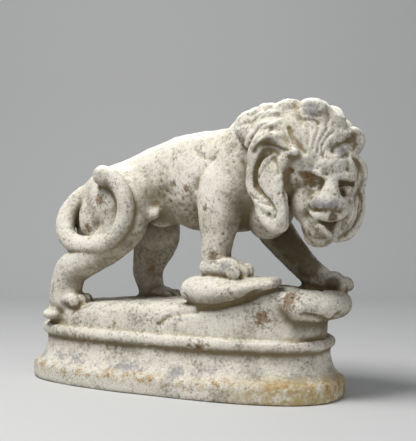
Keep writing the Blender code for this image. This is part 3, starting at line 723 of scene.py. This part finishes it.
# Width and depth in millimetres, then the pixels it runs through; a minus sinks it
STROKES = {
    # Hair of the crown, from the roll over the forehead to the neck
    "under the front roll": (3.0, -5.0, [(299.8, 118.5), (307.3, 119.8), (313.9, 119.3),
                                         (319.7, 123.5)]),
    "behind the front roll": (2.6, -4.0, [(299, 99.9), (295.9, 104.4), (295.7, 111), (298.2, 117.7)]),
    "front roll, upper streak": (1.8, -1.8, [(298.2, 108.6), (306.5, 106), (319, 107.8)]),
    "front roll, lower streak": (1.8, -1.8, [(299, 112.7), (309, 115.2), (320.6, 116)]),
    "beside the front roll": (2.6, -3.4, [(328, 110.2), (329.7, 116.9), (327.2, 123.5)]),
    "far roll": (2.0, -2.0, [(333, 119.4), (339.6, 129.3)]),
    "crown valley": (2.6, -3.4, [(278.3, 107), (269.2, 107.8), (263.4, 112), (256.7, 117.7),
                                 (251, 121.9), (238.5, 126)]),
    "crown strand": (1.8, -1.8, [(270, 111), (263.4, 117), (257.6, 122.7)]),
    "temple valley": (2.6, -3.6, [(271.7, 121), (266.7, 122.7), (259.2, 126.8), (254.2, 133.5),
                                  (251, 138.4)]),
    "second temple valley": (2.6, -4.0, [(270.8, 129.3), (264.2, 132.6), (258.4, 137.2),
                                         (253.4, 143.4)]),
    "under the eyebrow roll": (3.6, -6.0, [(253.4, 151), (257.6, 146), (264.2, 144.2), (270.8, 146),
                                           (280.8, 149.6), (286, 150.5)]),
    "left of the forelock": (2.4, -3.6, [(280.4, 122.7), (283.3, 129.3), (285.8, 138.4),
                                         (289.9, 148.4)]),
    "second parting": (2.6, -3.8, [(289, 127.7), (292.4, 136.8), (299, 145), (304.8, 152.5)]),
    "right of the forelock": (2.4, -3.4, [(301.5, 121), (307.3, 126.8), (309, 135), (308, 143.4)]),
    "fringe 1": (2.2, -3.0, [(318.9, 128.5), (315.6, 138.4), (313, 148.4)]),
    "fringe 2": (2.2, -3.2, [(328, 127.7), (322.2, 136.8), (318.9, 143.4), (317.5, 152)]),
    "outside the far curl": (2.4, -3.6, [(333.8, 131), (326.4, 138.4), (322.2, 148.4), (323.9, 158.3)]),
    "inside the far curl": (3.4, -5.5, [(349.5, 141), (343, 143.4), (335.5, 146.7), (333, 151)]),
    "under the far curl": (2.4, -3.2, [(348.8, 153.4), (339.6, 158.3)]),
    "bun": (2.2, -2.6, [(352, 135), (355.4, 141.8), (353.7, 150)]),
    "far temple": (2.8, -3.4, [(347.4, 155.5), (352.3, 157.9), (357.1, 162.7), (359.5, 170),
                               (358.3, 179.7)]),
    # Near ear and the locks that hang beside the cheek
    "inside the rim": (3.2, -4.4, [(269.8, 153), (262.6, 157.9), (257.7, 165.2), (255.3, 174.8),
                                   (257.7, 185.8), (263.8, 195.5), (271.1, 203.9), (274.7, 212.4),
                                   (274.1, 217.3)]),
    "foot of the rim": (2.8, -3.6, [(251.1, 195.5), (257.7, 200.3), (265, 203.9), (268.6, 205.2)]),
    "ear fold": (3.0, -4.5, [(273.5, 157.9), (275.9, 165.2), (278.3, 173.6)]),
    "ear arch": (2.6, -3.0, [(258.9, 177.3), (262.6, 170), (268.6, 162.7), (272.3, 159.1)]),
    "before the cheek": (3.8, -3.6, [(288, 174.8), (285.6, 187), (286.8, 199.1), (288.6, 210),
                                     (288, 218.5)]),
    "far lobe 1": (2.4, -3.0, [(358.3, 191.8), (362, 201.5), (360.8, 212.4), (354.7, 224.5),
                               (346.2, 235.5)]),
    "far lobe 2": (2.4, -3.0, [(354.7, 199.1), (355.9, 211.2), (352.3, 220.9), (343.8, 233),
                               (338.9, 240.3)]),
    # Face
    "under the brow": (3.0, -4.0, [(301, 174.5), (308.6, 175.5), (314, 177), (320.5, 180)]),
    "beside the bridge": (2.6, -2.4, [(321.5, 183.5), (318, 191), (311, 198)]),
    "near upper lid": (1.8, -2.2, [(305.7, 184), (312, 180), (319.5, 179.5)]),
    "near lower lid": (1.8, -2.0, [(305.7, 189), (310, 190.5), (316, 190), (320.5, 186)]),
    "corner of the mouth": (2.4, -3.0, [(308, 213.5), (310, 216.5)]),
    "mouth": (2.6, -4.0, [(319, 221.5), (323, 222.5), (327, 222.5), (331, 222)]),
    "under the nose": (2.2, -2.0, [(313, 211.5), (318, 209.5), (323, 210), (328, 208.5), (334, 211),
                                   (341, 212)]),
    "between the nostrils": (2.0, -2.0, [(324, 197.5), (323.5, 203), (323.5, 209)]),
    "near nose wing": (2.0, -2.0, [(310, 199), (309, 205), (311, 210)]),
    "far brow": (2.6, -4.0, [(339.5, 184.5), (345, 184.2), (351.5, 184.5)]),
    "under the far eye": (2.0, -2.4, [(341.5, 193.5), (346, 195.5), (351.5, 194)]),
    "under the lower lip": (2.2, -2.4, [(309, 234.5), (313, 237.5), (317.5, 239), (325, 238)]),
    "before the lower lip": (2.0, -1.6, [(311, 217), (315.5, 224), (320, 230), (326, 236)]),
    # Body
    "shoulder blade": (3.4, -3.0, [(194, 148), (197, 153), (202, 157), (208, 159), (214, 158)]),
    "shoulder edge": (4.0, -2.6, [(214, 158), (206, 168), (199, 178), (196, 188)]),
    "haunch edge": (6.0, -1.6, [(141, 172), (146, 182), (147, 195), (144, 206)]),
    "loin": (5.0, -1.4, [(143, 171), (150, 168), (158, 165)]),
    # Rock
    "rock fold": (3.6, -4.0, [(158, 325), (166, 319), (177, 314), (196, 312)]),
    "under the boulder": (4.4, -6.5, [(198, 309), (215, 308.5), (230, 305), (242, 300), (256, 292)]),
    "under the lip of rock": (5.0, -7.0, [(305, 315), (318, 318), (328, 321), (338, 315)]),
    "ledge": (2.6, -2.0, [(225, 339.5), (260, 342), (300, 341), (325, 338)]),
    "left ridge": (3.6, -3.4, [(72, 312), (80, 308), (90, 304)]),
    "top of the lip": (3.0, -2.6, [(295, 282), (314.6, 288), (328.3, 292.6), (344, 293)]),
}

# Chips and hollows: width and depth in millimetres, then the pixel of the middle
DENTS = {
    "near eye socket": (6.0, -3.0, (312, 184)),
    "inner corner of the near eye": (3.0, -3.0, (320.4, 181)),
    "far eye": (3.0, -3.5, (341.8, 193)),
    "near nostril": (2.8, -3.5, (316, 208.5)),
    "far nostril": (2.8, -4.0, (336, 208)),
    "ear hole": (4.0, -4.0, (291, 171)),
    "flank": (26.0, -5.0, (165, 195)),
    "first chip of the bead": (3.5, -3.0, (189, 346)),
    "second chip of the bead": (4.5, -3.5, (198, 348)),
    "third chip of the bead": (3.0, -3.0, (208, 346)),
    "broken bead": (5.0, -4.0, (325, 341)),
    "end of the broken bead": (4.0, -3.5, (332, 344)),
    "under the tuft": (4.0, -4.0, (99, 188)),
    "beside the haunch": (4.0, -5.0, (79.5, 213)),
}


def faces_of(mesh):
    """Corners of the block's faces, which are all squares after the fusing."""
    flat = np.empty(len(mesh.loops), int)
    mesh.loops.foreach_get("vertex_index", flat)
    return flat.reshape(-1, 4)


def normals_of(places, quads):
    """Direction of the surface at each vertex: the cross products of its faces' diagonals, added."""
    across = places[quads[:, 2]] - places[quads[:, 0]]
    over = places[quads[:, 3]] - places[quads[:, 1]]
    face_normals = np.cross(across, over)
    total = np.zeros_like(places)
    for corner in range(4):
        for axis in range(3):
            total[:, axis] += np.bincount(quads[:, corner], face_normals[:, axis], len(places))
    return unit(total)


def distance_to(path, places):
    """Distance from each place to the nearest of a path's segments, worked out segment by segment."""
    nearest = np.full(len(places), np.inf)
    for start, end in zip(path[:-1], path[1:]):
        span = end - start
        share = np.clip((places - start) @ span / max(span @ span, SHORTEST_SPAN), 0, 1)
        nearest = np.minimum(nearest, np.linalg.norm(places - start - share[:, None] * span, axis=1))
    return nearest


def carve(places, normals, path, width, depth):
    """Moves the surface along its normal by depth times a bell curve of the distance to the path."""
    low, high = path.min(0) - CARVE_REACH * width, path.max(0) + CARVE_REACH * width
    near = np.flatnonzero(((places > low) & (places < high)).all(1))
    fall = np.exp(-((distance_to(path, places[near]) / width) ** 2))
    places[near] += normals[near] * (depth * fall)[:, None]


quads = faces_of(block)
normals = normals_of(points, quads)
tree = BVHTree.FromPolygons(points.tolist(), quads.tolist())
carved = points.copy()
for width, depth, pixels in STROKES.values():
    path = thrown(tree, pixels)
    if len(path) > 1:
        carve(carved, normals, path, STROKE_SPREAD * width / 1000, STROKE_SINK * depth / 1000)
for width, depth, pixel in DENTS.values():
    path = thrown(tree, [pixel, pixel])
    carve(carved, normals, path, width / 1000, depth / 1000)


# The weather: rain has rounded the stone's edges, opened its grain in patches and left it pitted.
# Four sizes of smooth noise move the surface along its normals, and the pits sink into it.
WAVES = ((0.060, 0.0011), (0.022, 0.0007), (0.009, 0.00045), (0.0045, 0.00035))
LATTICE = 64
PATCH_SIZE = 0.045
PATCH_SEED = 11
PATCH_CONTRAST = 2
PATCH_SHARE = 0.2
PIT_SIZE = 0.0042
PIT_SEED = 12
PIT_RARITY = 0.30
PIT_DEPTH = 0.0035
LEVEL_EDGE = 0.004


def value_noise(places, size, seed):
    """Smooth noise from -1 to 1: random values on a cubic lattice, blended between its corners."""
    table = np.random.default_rng(seed).random((LATTICE,) * 3) * 2 - 1
    grid = places / size
    cell = np.floor(grid).astype(int)
    t = grid - cell
    t = t * t * (3 - 2 * t)
    total = np.zeros(len(places))
    for corner in np.ndindex(2, 2, 2):
        share = np.prod(np.where(corner, t, 1 - t), axis=1)
        total += share * table[tuple(((cell + corner) % LATTICE).T)]
    return total


normals = normals_of(carved, quads)
shift = np.zeros(len(carved))
for seed, (size, height) in enumerate(WAVES):
    shift += value_noise(carved, size, seed) * height
patches = np.clip(value_noise(carved, PATCH_SIZE, PATCH_SEED) * PATCH_CONTRAST + PATCH_SHARE, 0, 1)
pits = np.clip(value_noise(carved, PIT_SIZE, PIT_SEED) - PIT_RARITY, 0, 1) * patches
shift -= pits * PIT_DEPTH
keep_flat = np.clip(carved[:, 2] / LEVEL_EDGE, 0, 1)
weathered = carved + normals * (shift * keep_flat)[:, None]
weathered[:, 2] = np.maximum(weathered[:, 2], 0)
block.vertices.foreach_set("co", weathered.ravel())


# What the weather left on the stone, and the shade painted on it: how much sky each place sees, and how
# hollow it lies, decide where rain bleached it, where dirt and lichen stayed and where shade is painted
# into its colour. They are kept as values on the mesh.
SKY_DIRECTIONS = 60
SKY_CELL = 0.0035
SKY_SLACK = 0.006
SKY_SIDE = [0.3, 0.5, 0.1]
SKY_ROUNDS = 3
HOLLOW_ROUNDS = 8
HOLLOW_DEPTH = 0.001
BASIN_ROUNDS = 110
BASIN_DEPTH = 0.004


def sky_directions():
    """Directions spread evenly over the upper half of a ball, by the golden angle."""
    count = np.arange(SKY_DIRECTIONS) + 0.5
    height = count / SKY_DIRECTIONS
    angle = count * np.pi * (3 - math.sqrt(5))
    level = np.sqrt(1 - height**2)
    return np.column_stack([level * np.cos(angle), level * np.sin(angle), height])


def open_sky(places, normals):
    """Share of the sky's light that reaches each place.

    For each direction the highest point of each cell of a grid square to it is found, and a place is
    lit if it lies no deeper than a little under that point, by the cosine of its slope.
    """
    total, most = np.zeros(len(places)), 0
    for toward in sky_directions():
        side = unit(np.cross(toward, SKY_SIDE))
        rise = np.cross(toward, side)
        columns = np.floor(places @ side / SKY_CELL).astype(int)
        rows = np.floor(places @ rise / SKY_CELL).astype(int)
        columns -= columns.min()
        cells = (rows - rows.min()) * (columns.max() + 1) + columns
        height = places @ toward
        highest = np.full(cells.max() + 1, -np.inf)
        np.maximum.at(highest, cells, height)
        lit = np.clip(2 - (highest[cells] - height) / SKY_SLACK, 0, 1)
        total += lit * np.clip(normals @ toward, 0, 1)
        most += toward[2]
    return total / most


def smoothed(values, edges, rounds):
    """Mean of each vertex with its neighbours along the edges, taken a number of rounds."""
    values = np.asarray(values, float).reshape(len(values), -1)
    count = np.bincount(edges.ravel(), minlength=len(values))[:, None] + 1
    for _ in range(rounds):
        total = values.copy()
        for column in range(values.shape[1]):
            total[:, column] += np.bincount(edges[:, 0], values[edges[:, 1], column], len(values))
            total[:, column] += np.bincount(edges[:, 1], values[edges[:, 0], column], len(values))
        values = total / count
    return values


def edges_of(mesh):
    flat = np.empty(len(mesh.edges) * 2, int)
    mesh.edges.foreach_get("vertices", flat)
    return flat.reshape(-1, 2)


def store(mesh, name, values):
    held_values = mesh.attributes.new(name, "FLOAT", "POINT").data
    held_values.foreach_set("value", values.astype(np.float32).ravel())


# Places with brown, eaten stone: pixel of the middle, radius in millimetres
EATEN_PLACES = [
    ((309, 177), 17),
    ((291, 171), 9),
    ((99, 200), 16),
    ((88, 228), 12),
    ((205, 208), 9),
    ((213, 255), 12),
    ((288, 300), 26),
    ((262, 318), 18),
    ((200, 347), 14),
    ((186, 188), 10),
    ((152, 268), 10),
    ((344, 185), 10),
]

# Places under a slate grey film, and places painted brown: painted shade on the far foreleg, by the
# far paw and in the mouth, with some brown stain
FILMED_PLACES = [
    ((316, 203), 9),
    ((325, 204), 9),
    ((334, 204), 10),
    ((311, 168), 6),
    ((310, 108), 12),
    ((342, 150), 7),
    ((225, 265), 9),
]
STAINED_AND_SHADED_PLACES = [
    ((285, 238), 24),
    ((297, 250), 26),
    ((308, 266), 22),
    ((333, 218), 8),
    ((326, 227), 6),
    ((333, 285), 14),
]

edges = edges_of(block)
normals = normals_of(weathered, quads)
sky = smoothed(open_sky(weathered, normals), edges, SKY_ROUNDS)[:, 0]
hollow = ((smoothed(weathered, edges, HOLLOW_ROUNDS) - weathered) * normals).sum(1) / HOLLOW_DEPTH
basin = ((smoothed(weathered, edges, BASIN_ROUNDS) - weathered) * normals).sum(1) / BASIN_DEPTH
for name, places in (("eaten", EATEN_PLACES), ("filmed", FILMED_PLACES), ("stained_and_shaded", STAINED_AND_SHADED_PLACES)):
    marked = np.zeros(len(weathered))
    for pixel, radius in places:
        middle = thrown(tree, [pixel, pixel])[0]
        reach = np.linalg.norm(weathered - middle, axis=1) / (radius / 1000)
        marked = np.maximum(marked, np.exp(-(reach**2)))
    store(block, name, marked)
store(block, "sky", sky)
store(block, "hollow", np.clip(hollow, -1, 1))
store(block, "basin", np.clip(basin, -1, 1))

block.name = "carved_lion"
statue = linked("carved_lion", block)
thin = statue.modifiers.new("thin", "DECIMATE")
thin.ratio = min(1, PIECE_TRIANGLES / (2 * len(quads)))
depsgraph = bpy.context.evaluated_depsgraph_get()
thinned = bpy.data.meshes.new_from_object(statue.evaluated_get(depsgraph))
statue.modifiers.clear()
statue.data = thinned
thinned.shade_smooth()


# The stone: cream limestone, bleached where rain washes it, with a grey film and dark specks of
# lichen, brown pits, olive dirt and painted shade in its hollows, painted shade under overhangs and a
# rusty tide line round the foot of the plinth.
class Wire:
    """An output socket of the stone's shader. Arithmetic on wires adds Math nodes."""

    tree = None

    def __init__(self, socket):
        self.socket = socket

    @classmethod
    def node(cls, kind, settings=None, inputs=None, output=0):
        """Adds a node: its settings first, then the values or links of its sockets."""
        added = cls.tree.nodes.new(kind)
        for name, value in (settings or {}).items():
            setattr(added, name, value)
        for name, value in (inputs or {}).items():
            if isinstance(value, Wire):
                cls.tree.links.new(value.socket, added.inputs[name])
            else:
                added.inputs[name].default_value = value
        return cls(added.outputs[output])

    @classmethod
    def maths(cls, operation, first, second=0.0):
        return cls.node("ShaderNodeMath", {"operation": operation}, {0: first, 1: second})

    def __add__(self, other):
        return Wire.maths("ADD", self, other)

    def __radd__(self, other):
        return Wire.maths("ADD", other, self)

    def __sub__(self, other):
        return Wire.maths("SUBTRACT", self, other)

    def __rsub__(self, other):
        return Wire.maths("SUBTRACT", other, self)

    def __mul__(self, other):
        return Wire.maths("MULTIPLY", self, other)

    def __rmul__(self, other):
        return Wire.maths("MULTIPLY", other, self)

    def most(self, other):
        return Wire.maths("MAXIMUM", self, other)

    def step(self, low, high):
        """Rises smoothly from 0 at low to 1 at high; it falls where low is the greater."""
        ends = {"Value": self, "From Min": min(low, high), "From Max": max(low, high)}
        if low > high:
            ends["To Min"], ends["To Max"] = 1.0, 0.0
        return Wire.node("ShaderNodeMapRange", {"interpolation_type": "SMOOTHSTEP"}, ends)

    def bell(self, middle, width):
        """One at the middle, falling smoothly to zero a width away on each side."""
        return Wire.maths("ABSOLUTE", self - middle).step(width, 0.0)


SCREEN_GAMMA = 2.2


def linear(red, green, blue):
    """Colour on the screen, 0 to 255, as the linear light that a shader works in."""
    return (*[(value / 255) ** SCREEN_GAMMA for value in (red, green, blue)], 1.0)


def noise(size, detail=3.0, roughness=0.55, seed=0.0):
    """Cloudy pattern whose blotches are about `size` metres across."""
    settings = {"noise_dimensions": "4D"}
    inputs = {"Vector": place, "W": seed, "Scale": 1 / size, "Detail": detail, "Roughness": roughness}
    return Wire.node("ShaderNodeTexNoise", settings, inputs)


def tinted(colour, amount, over):
    """A flat colour laid over another by an amount."""
    return Wire.node("ShaderNodeMix", {"data_type": "RGBA"}, {0: amount, 6: over, 7: colour}, output=2)


def held(name):
    """Value that the mesh holds at each vertex."""
    return Wire.node("ShaderNodeAttribute", {"attribute_name": name}, output="Fac")


CREAM = linear(226, 221, 208)
STRAW = linear(202, 192, 168)
BLEACHED = linear(246, 243, 234)
GREY_FILM = linear(162, 159, 152)
SPECK = linear(92, 86, 74)
PIT = linear(62, 50, 32)
BROWN = linear(120, 92, 58)
OLIVE_DIRT_AND_SHADE = linear(118, 106, 84)
DARK_DIRT_AND_SHADE = linear(64, 52, 36)
SAND = linear(158, 148, 128)
OCHRE = linear(172, 148, 92)
RUST = linear(156, 104, 60)
LAVENDER = linear(152, 149, 151)
MOSS = linear(178, 166, 112)
GOLDEN_STAIN_AND_SHADE = linear(160, 142, 102)
SLATE = linear(134, 132, 136)
UMBER_STAIN_AND_SHADE = linear(96, 80, 58)

stone = bpy.data.materials.new("weathered_limestone")
stone.use_nodes = True
Wire.tree = stone.node_tree
shader = stone.node_tree.nodes["Principled BSDF"]
place = Wire.node("ShaderNodeTexCoord", output="Object")
axes = Wire.node("ShaderNodeSeparateXYZ", inputs={0: place})
along = Wire(axes.socket.node.outputs["X"])
height = Wire(axes.socket.node.outputs["Z"])
sky_seen, hollowed, sunk, worn = held("sky"), held("hollow"), held("basin"), held("eaten")
filmed, stained_and_shaded = held("filmed"), held("stained_and_shaded")

broad = noise(0.070, 4, 0.6, 1)
medium = noise(0.024, 4, 0.65, 2)
fine = noise(0.0052, 3, 0.7, 3)
grain = noise(0.0022, 2, 0.6, 4)
tide = noise(0.020, 5, 0.7, 5)

# Cream limestone with straw clouds, a thin grey film, and bleached where rain washes it
# Places that see little sky: the mask for the shade painted under overhangs further down
sheltered_and_shaded = sky_seen.step(0.70, 0.12)
washed = sky_seen.step(0.55, 0.98)

tone = tinted(STRAW, (broad + fine * 0.35).step(0.58, 0.86) * 0.55, CREAM)
film = (broad * 0.6 + medium * 0.6 + fine * 0.35 - washed * 0.16).step(0.70, 0.92)
tone = tinted(GREY_FILM, film * 0.55, tone)
tone = tinted(BLEACHED, (washed + medium * 0.7 - hollowed * 0.5).step(0.85, 1.35) * 0.85, tone)

# Dark specks of lichen, and the sandy grain between them
speckled = (medium + broad * 0.5 + worn * 0.35 - washed * 0.12).step(0.62, 0.92)
specks = (fine + grain * 0.45 + speckled * 0.16).step(0.86, 0.98)
tone = tinted(SPECK, specks * 0.55, tone)
sandy = (grain * 0.7 + fine * 0.3).step(0.44, 0.66)
tone = tinted(SAND, sandy * (0.50 - washed * 0.22), tone)

# Olive dirt and painted shade in the hollows, and a darker painted shade, with some dirt, where little sky
# is seen and in deep hollows
dirt_and_painted_shade = (sheltered_and_shaded + sunk * 0.20 + hollowed * 0.22 + medium * 0.5 - 0.15).step(0.42, 1.20)
tone = tinted(OLIVE_DIRT_AND_SHADE, dirt_and_painted_shade * 0.85, tone)
tone = tinted(DARK_DIRT_AND_SHADE, (sheltered_and_shaded * 0.9 + hollowed * 0.35 + sunk * 0.3).step(0.80, 1.5) * 0.75, tone)

# Moss; golden stain with painted shade in hollows and where little sky is seen; umber painted shade on the
# far foreleg and in the mouth, with some brown stain; and slate stains
mossy = (hollowed * 0.15 + tide + grain * 0.3).step(0.80, 0.98) * 0.35
tone = tinted(MOSS, mossy, tone)
# Golden: a stain, with painted shade in hollows and where little sky is seen
tone = tinted(GOLDEN_STAIN_AND_SHADE, (hollowed + grain * 0.5 + sheltered_and_shaded * 0.3).step(0.50, 1.3) * 0.40, tone)
# Umber: painted shade on the far foreleg and in the mouth, with some brown stain
tone = tinted(UMBER_STAIN_AND_SHADE, (stained_and_shaded + medium * 0.4).step(0.30, 0.75) * 0.85, tone)
tone = tinted(SLATE, (filmed + fine * 0.7).step(0.45, 1.05) * 0.65, tone)

# Brown, eaten places and the pits
eaten_stone = (worn + fine * 0.8 + medium * 0.5).step(1.15, 1.5)
tone = tinted(BROWN, eaten_stone * 0.75, tone)
pitted = (fine * 0.9 + grain * 0.4 + worn * 0.24 + speckled * 0.03).step(0.95, 1.05)
tone = tinted(PIT, pitted * 0.85, tone)

# Tide line round the foot of the plinth, a lavender one above it, and ochre at the head's end
tide_line = height.bell(0.028, 0.016) * (tide + grain * 0.3).step(0.58, 0.76)
above_tide = height.bell(0.042, 0.018) * (medium + fine * 0.3).step(0.60, 0.78)
right_end = along.step(0.10, 0.24) * height.step(0.055, 0.030) * (tide + fine * 0.3).step(0.45, 0.72)
tone = tinted(LAVENDER, above_tide * 0.7, tone)
tone = tinted(OCHRE, (tide_line * 0.75).most(right_end * 0.85), tone)
tone = tinted(RUST, tide_line * (fine + tide * 0.5).step(0.72, 0.92) * 0.8, tone)

# Grain, pits and lichen that stand in the surface
relief = fine * 0.6 + grain * 0.4 - pitted * 0.7 - specks * 0.25
bump = Wire.node("ShaderNodeBump", None, {"Strength": 0.75, "Distance": 0.0012, "Height": relief})
Wire.tree.links.new(tone.socket, shader.inputs["Base Color"])
Wire.tree.links.new((0.94 - washed * 0.06 - eaten_stone * 0.04).socket, shader.inputs["Roughness"])
Wire.tree.links.new(bump.socket, shader.inputs["Normal"])
shader.inputs["Specular IOR Level"].default_value = 0.25

thinned.materials.clear()
thinned.materials.append(stone)
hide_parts("lion_statue")
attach(statue, "root")


# The studio: a plain pale floor that runs back under the statue and curves up behind it, lit by a
# large soft lamp high on the left, a weak one low on the right, and a dim bluish sky.
FLOOR_HALF_WIDTH = 3.0
FLOOR_FRONT = -2.5
FLOOR_BACK = 1.4
BEND_RADIUS = 0.8
BEND_STEPS = 24
WALL_TOP = 3.0
FLOOR_COLOUR = (0.62, 0.62, 0.61, 1)
FLOOR_ROUGHNESS = 0.85


def sweep():
    """Floor, a quarter circle and a wall: a profile of (back, up), drawn across the width."""
    bend = np.radians(np.linspace(0, 90, BEND_STEPS))
    back = [FLOOR_FRONT, *(FLOOR_BACK + BEND_RADIUS * np.sin(bend)), FLOOR_BACK + BEND_RADIUS]
    rise = [0.0, *(BEND_RADIUS * (1 - np.cos(bend))), WALL_TOP]
    middle = np.outer(back, view_level) + np.outer(rise, [0, 0, 1])
    rows = np.stack([middle - view_right * FLOOR_HALF_WIDTH, middle + view_right * FLOOR_HALF_WIDTH], 1)
    left = np.arange(len(back) - 1) * 2
    quads = np.column_stack([left, left + 1, left + 3, left + 2])
    mesh = bpy.data.meshes.new("studio_floor")
    mesh.from_pydata(rows.reshape(-1, 3).tolist(), [], quads.tolist())
    mesh.shade_smooth()
    paint = bpy.data.materials.new("floor_paint")
    paint.use_nodes = True
    coat = paint.node_tree.nodes["Principled BSDF"]
    coat.inputs["Base Color"].default_value = FLOOR_COLOUR
    coat.inputs["Roughness"].default_value = FLOOR_ROUGHNESS
    mesh.materials.append(paint)
    return linked("studio_floor", mesh)


sweep()

STATUE_MIDDLE = (0.0, 0.0, 0.25)


def lamp(name, right, back, up, size, power):
    """Square lamp, placed to the camera's right, away from it and up, and aimed at the statue."""
    light = bpy.data.lights.new(name, "AREA")
    light.shape = "SQUARE"
    light.size = size
    light.energy = power
    thing = linked(name, light)
    thing.location = tuple(view_right * right + view_level * back + np.array([0, 0, up]))
    aim = Vector(STATUE_MIDDLE) - thing.location
    thing.rotation_euler = aim.to_track_quat("-Z", "Y").to_euler()


lamp("key", right=-0.7, back=-0.7, up=2.2, size=0.9, power=52)
lamp("fill", right=1.2, back=-2.0, up=0.8, size=1.4, power=7)

SKY_COLOUR = (0.9, 0.93, 1.0, 1)
SKY_STRENGTH = 0.22
world = bpy.data.worlds.new("studio")
bpy.context.scene.world = world
world.use_nodes = True
backdrop = world.node_tree.nodes["Background"]
backdrop.inputs["Color"].default_value = SKY_COLOUR
backdrop.inputs["Strength"].default_value = SKY_STRENGTH
bpy.context.scene.view_settings.view_transform = "Standard"
